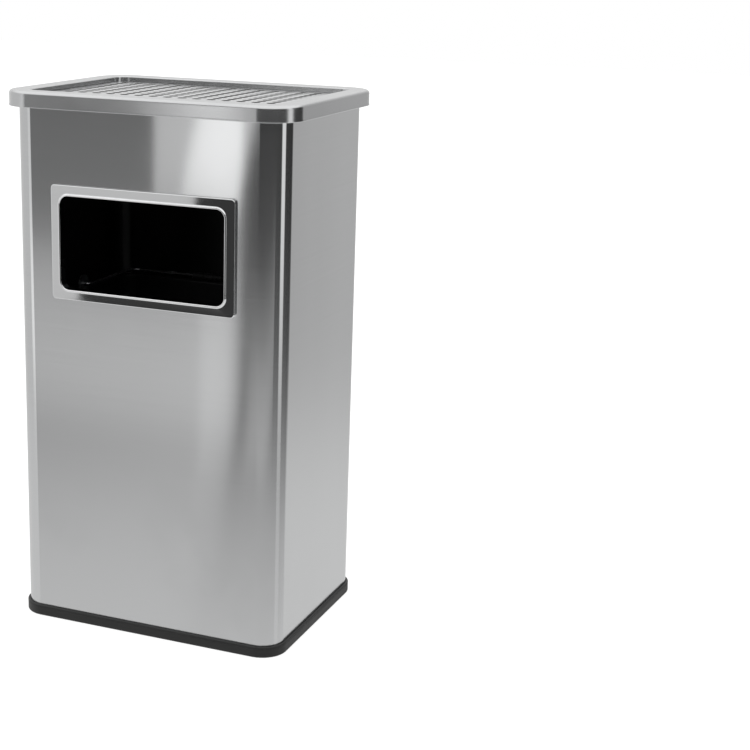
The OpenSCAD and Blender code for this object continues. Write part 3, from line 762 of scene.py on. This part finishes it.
def rivet_tree():
    """Rivets on points: two domes and the shank between them, along X."""
    tree = bpy.data.node_groups.new("rivets", "GeometryNodeTree")
    for label, kind in (("Points", "Geometry"), ("Head radius", "Float"), ("Head height", "Float"),
                        ("Shank radius", "Float"), ("Grip", "Float"), ("Finish", "Material")):
        tree.interface.new_socket(label, in_out="INPUT", socket_type="NodeSocket" + kind)
    tree.interface.new_socket("Rivets", in_out="OUTPUT", socket_type="NodeSocketGeometry")
    sizes = tree.nodes.new("NodeGroupInput")
    given = {s.name: Signal(tree, s) for s in sizes.outputs if s.name}
    start = Signal(tree)
    both = tree.nodes.new("GeometryNodeJoinGeometry")
    for side in (-1, 1):
        ball = start.add("GeometryNodeMeshUVSphere", {},
                         {"Segments": 16, "Rings": 8, "Radius": given["Head radius"]}, "Mesh")
        flat = start.add("ShaderNodeCombineXYZ", {},
                         {"X": given["Head height"].math("DIVIDE", given["Head height"],
                                                         given["Head radius"]), "Y": 1.0, "Z": 1.0})
        out = start.add("ShaderNodeCombineXYZ", {}, {"X": given["Grip"] * (0.5 * side)})
        dome = start.add("GeometryNodeTransform", {},
                         {"Geometry": ball, "Scale": flat, "Translation": out})
        tree.links.new(dome.socket, both.inputs["Geometry"])
    shank = start.add("GeometryNodeMeshCylinder", {},
                      {"Vertices": 16, "Radius": given["Shank radius"],
                       "Depth": given["Grip"]}, "Mesh")
    lain = start.add("GeometryNodeTransform", {},
                     {"Geometry": shank, "Rotation": (0.0, math.radians(90), 0.0)})
    tree.links.new(lain.socket, both.inputs["Geometry"])
    placed = start.add("GeometryNodeInstanceOnPoints", {},
                       {"Points": given["Points"], "Instance": Signal(tree, both.outputs[0])})
    real = start.add("GeometryNodeRealizeInstances", {}, {"Geometry": placed})
    done = start.add("GeometryNodeSetMaterial", {}, {"Geometry": real, "Material": given["Finish"]})
    tree.links.new(done.socket, tree.nodes.new("NodeGroupOutput").inputs[0])
    return tree


grip_middle = (rivet_hi.x - RIVET_HEAD_H) - (EAR_T + SHEET) / 2
rivet_rows = (rivet_lo.z + RIVET_HEAD_R, rivet_hi.z - RIVET_HEAD_R)
rivets = grown("ear_rivets_zinc",
               spots("rivet_spots", [(s * grip_middle, 0, z) for s in (-1, 1) for z in rivet_rows]),
               rivet_tree(), Head_radius=RIVET_HEAD_R, Head_height=RIVET_HEAD_H,
               Shank_radius=RIVET_R, Grip=EAR_T + SHEET, Finish=zinc)
settle(softened(tidy(rivets), 0), "liner", "zinc_fasteners", zinc, "ear_rivets")

# ---- Bail, its grip and the rim wire --------------------------------------------
# A bail of 5 mm bright-drawn wire. Its headed ends turn in the ears, and a black
# moulded tube on its middle is the grip. The same bright wire is in the rim.

bail_lo, bail_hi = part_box("bail_wire")
grip_lo, grip_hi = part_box("bail_grip")
BAIL_R, BAIL_TURN, BAIL_BEND, HEAD_R, HEAD_T = 0.0025, 0.006, 0.016, 0.0036, 0.0015
pivot_z = (grip_lo.z + grip_hi.z) / 2
reach = (grip_lo.y + grip_hi.y) / 2
leg_x = ear_hi.x - EAR_T - BAIL_TURN - 0.001


def quarter_bend(cx, cy, r, start, end, steps=8):
    return [Vector((x, y, pivot_z)) for x, y in arc(cx, cy, r, start, end, steps)]


half = [Vector((bail_hi.x - HEAD_T, 0, pivot_z)), Vector((leg_x + BAIL_TURN, 0, pivot_z))]
half += quarter_bend(leg_x + BAIL_TURN, BAIL_TURN, BAIL_TURN, 270, 180)[1:]
half += quarter_bend(leg_x - BAIL_BEND, reach - BAIL_BEND, BAIL_BEND, 0, 90)
path = half + [Vector((-p.x, p.y, p.z)) for p in half[::-1]]


def tube(name, points, r, steps=20):
    """A round wire of that radius along a level path, capped."""
    rings = []
    for i, point in enumerate(points):
        along = (points[min(i + 1, len(points) - 1)] - points[max(i - 1, 0)]).normalized()
        side = along.cross(Vector((0, 0, 1)))
        rings.append([point + side * r * math.cos(2 * math.pi * k / steps)
                      + Vector((0, 0, 1)) * r * math.sin(2 * math.pi * k / steps)
                      for k in range(steps)])
    return loft(name, rings, "capped")


wire = tube("bail_bent", path, BAIL_R)
head_profile = [(bail_hi.x - HEAD_T, BAIL_R), (bail_hi.x - HEAD_T, HEAD_R),
                (bail_hi.x - 0.0006, HEAD_R), (bail_hi.x, HEAD_R - 0.0009)]
heads = [turned("bail_head", [(side * far, r) for far, r in head_profile], at=(0, 0, pivot_z))
         for side in (-1, 1)]
bail = softened(joined("bail_bent", [wire, *heads]), 0)

drawn, shader, place = new_finish("bright_drawn_wire", Metallic=1.0)
die_lines = place.noise((30.0, 700.0, 900.0), 3.0)
die_lines.tint((0.46, 0.47, 0.49), (0.64, 0.65, 0.66)).feed(shader, "Base Color")
(die_lines * 0.2 + 0.15).feed(shader, "Roughness")
die_lines.bump(0.00002).feed(shader, "Normal")
settle(bail, "bail", "bright_wire", drawn, "bail_wire")
refinish("rim_wire", drawn)

GRIP_R, RIBS = (grip_hi.z - grip_lo.z) / 2, 12
grip_half = grip_hi.x
rib_run = 2 * (grip_half - 0.012)
stations = [(-grip_half, BAIL_R + 0.0002), (-grip_half, GRIP_R - 0.0012),
            (-grip_half + 0.0004, GRIP_R - 0.0004), (-grip_half + 0.0014, GRIP_R)]
for k in range(RIBS):
    middle = -rib_run / 2 + rib_run * (k + 0.5) / RIBS
    stations += [(middle - 0.0012, GRIP_R), (middle - 0.0006, GRIP_R - 0.0005),
                 (middle + 0.0006, GRIP_R - 0.0005), (middle + 0.0012, GRIP_R)]
stations += [(grip_half - 0.0014, GRIP_R), (grip_half - 0.0004, GRIP_R - 0.0004),
             (grip_half, GRIP_R - 0.0012), (grip_half, BAIL_R + 0.0002)]
grip = softened(turned("moulded_grip", stations, 28, at=(0, reach, pivot_z)), 0)

moulded, shader, place = new_finish("moulded_black_plastic", Metallic=0.0)
texture = place.noise((2600.0, 2600.0, 2600.0), 2.0)
flow = place.noise((120.0, 40.0, 40.0), 3.0)
flow.tint((0.018, 0.018, 0.019), (0.045, 0.045, 0.046)).feed(shader, "Base Color")
(texture * 0.12 + flow * 0.12 + 0.36).feed(shader, "Roughness")
texture.bump(0.00002).feed(shader, "Normal")
settle(grip, "bail", "grip_plastic", moulded, "bail_grip")

# ---- Studio ---------------------------------------------------------------------
# A white floor and white surroundings to the eye. The metal sees a studio: a pale
# floor that runs out into a dark room, pale walls at the left and the back, a
# doorway, and upright soft lamps. The mirror-bright bezel has a lamp of its own.

floor = bpy.data.objects.new("studio_floor", bpy.data.meshes.new("studio_floor"))
floor.data.from_pydata([(-9, -9, 0), (9, -9, 0), (9, 9, 0), (-9, 9, 0)], [], [(0, 1, 2, 3)])
bpy.context.collection.objects.link(floor)
paper, shader, place = new_finish("white_paper", Roughness=0.9)
shader.inputs["Base Color"].default_value = (0.55, 0.55, 0.55, 1)
shader.inputs["Emission Color"].default_value = (1, 1, 1, 1)
shader.inputs["Emission Strength"].default_value = 0.72
shader.inputs["Specular IOR Level"].default_value = 0.0
floor.data.materials.append(paper)
floor.visible_glossy = False
floor.visible_diffuse = False

world = bpy.data.worlds.new("studio")
bpy.context.scene.world = world
world.use_nodes = True
tree = world.node_tree
tree.nodes.clear()
start = Signal(tree)
ray = start.add("ShaderNodeTexCoord", output="Generated")
split = tree.nodes.new("ShaderNodeSeparateXYZ")
tree.links.new(ray.socket, split.inputs[0])
east, north, up = (Signal(tree, s) for s in split.outputs)
bearing = start.math("ARCTAN2", east, north * -1.0) * math.degrees(1)
rise = start.math("ARCSINE", up) * math.degrees(1)


def between(signal, low, high, soft):
    return signal.rise(low - soft, low + soft) * (1 - signal.rise(high - soft, high + soft))


# Bearings are in degrees from straight in front, towards the bin's +X side; the
# single numbers are brightness.
LEFT_WALL, LEFT_BRIGHT = (-115.0, -38.0), 0.68
RIGHT_BACK_WALL, RIGHT_BACK_BRIGHT = (153.0, 181.0), 0.56
LEFT_BACK_WALL, LEFT_BACK_BRIGHT = (-190.0, -115.0), 0.80
DOORWAY, DOORWAY_BRIGHT = (82.0, 101.0), 0.95
DARK_SIDE, ROOM_DARK = (-25.2, 142.0), 0.04
PAPER_LEFT, PAPER_RIGHT, CEILING = 0.77, 0.82, 1.15
door_top = 1 - between(rise, -90.0, -15.0, 4.0)
walls = (ROOM_DARK
         + between(bearing, *LEFT_WALL, 2.0) * (LEFT_BRIGHT - ROOM_DARK)
         + between(bearing, *RIGHT_BACK_WALL, 7.0) * (RIGHT_BACK_BRIGHT - ROOM_DARK)
         + between(bearing, *LEFT_BACK_WALL, 4.0) * (LEFT_BACK_BRIGHT - ROOM_DARK)
         + between(bearing, *DOORWAY, 2.5) * DOORWAY_BRIGHT * door_top)
facing = between(bearing, *DARK_SIDE, 0.4)
paper = (1 - facing) * PAPER_LEFT + facing * PAPER_RIGHT
paper_seen = (1 - rise.rise(-19.5, -13.5)) * (1 - facing) + (1 - rise.rise(-24.0, -14.0)) * facing
level = walls + paper_seen * (paper - walls)
ceiling = rise.rise(16.0, 40.0)
level = level + ceiling * (CEILING - level)
seen = start.add("ShaderNodeLightPath", output="Is Camera Ray")
level = level + seen * (1.0 - level)
shine = start.add("ShaderNodeBackground", {}, {"Color": (1, 1, 1, 1), "Strength": level},
                  "Background")
tree.links.new(shine.socket, tree.nodes.new("ShaderNodeOutputWorld").inputs["Surface"])


def soft_light(name, centre, size, radiance, turn=0.0, shape="RECTANGLE", only=None, but=None):
    """An upright lamp that faces the bin from the front, seen in the metal only."""
    data = bpy.data.lights.new(name, "AREA")
    data.shape, data.size, data.size_y = shape, size[0], size[1]
    area = size[0] * size[1] * (1 if shape == "RECTANGLE" else math.pi / 4)
    data.energy = radiance * math.pi * area
    lamp = bpy.data.objects.new(name, data)
    lamp.matrix_world = (Matrix.Translation(centre) @ Matrix.Rotation(math.radians(90), 4, "X")
                         @ Matrix.Rotation(math.radians(turn), 4, "Z"))
    lamp.visible_camera = False
    bpy.context.collection.objects.link(lamp)
    if only or but:
        told = bpy.data.collections.new(name + "_sees")
        told.objects.link(only or but)
        lamp.light_linking.receiver_collection = told
        if but:
            told.collection_objects[0].light_linking.link_state = "EXCLUDE"
    return lamp


# No two lamps share a plane, because only one of them would be seen in the metal.
soft_light("room_fill", (-0.5525, -0.740, 0.48), (0.795, 0.74), 0.13, but=bezel)
soft_light("paper_fill", (-0.555, -0.730, 0.185), (0.790, 0.27), 0.30, but=bezel)
soft_light("hall_low", (0.475, -0.750, 0.15), (1.26, 0.28), 0.11, but=bezel)
soft_light("hall_floor", (0.475, -0.760, 0.10), (1.26, 0.18), 0.13, but=bezel)
soft_light("window_wide", (-0.2265, -0.720, 0.60), (0.147, 0.42), 0.50, but=bezel)
soft_light("window_bright", (-0.155, -0.710, 0.60), (0.090, 0.42), 0.62, turn=-14.9, but=bezel)
soft_light("window_low", (-0.1855, -0.700, 0.18), (0.051, 0.36), 0.13, but=bezel)
soft_light("bezel_glow", (-0.556, -0.690, 0.60), (0.776, 0.776), 0.50, shape="ELLIPSE", only=bezel)
bpy.context.scene.view_settings.view_transform = "Standard"
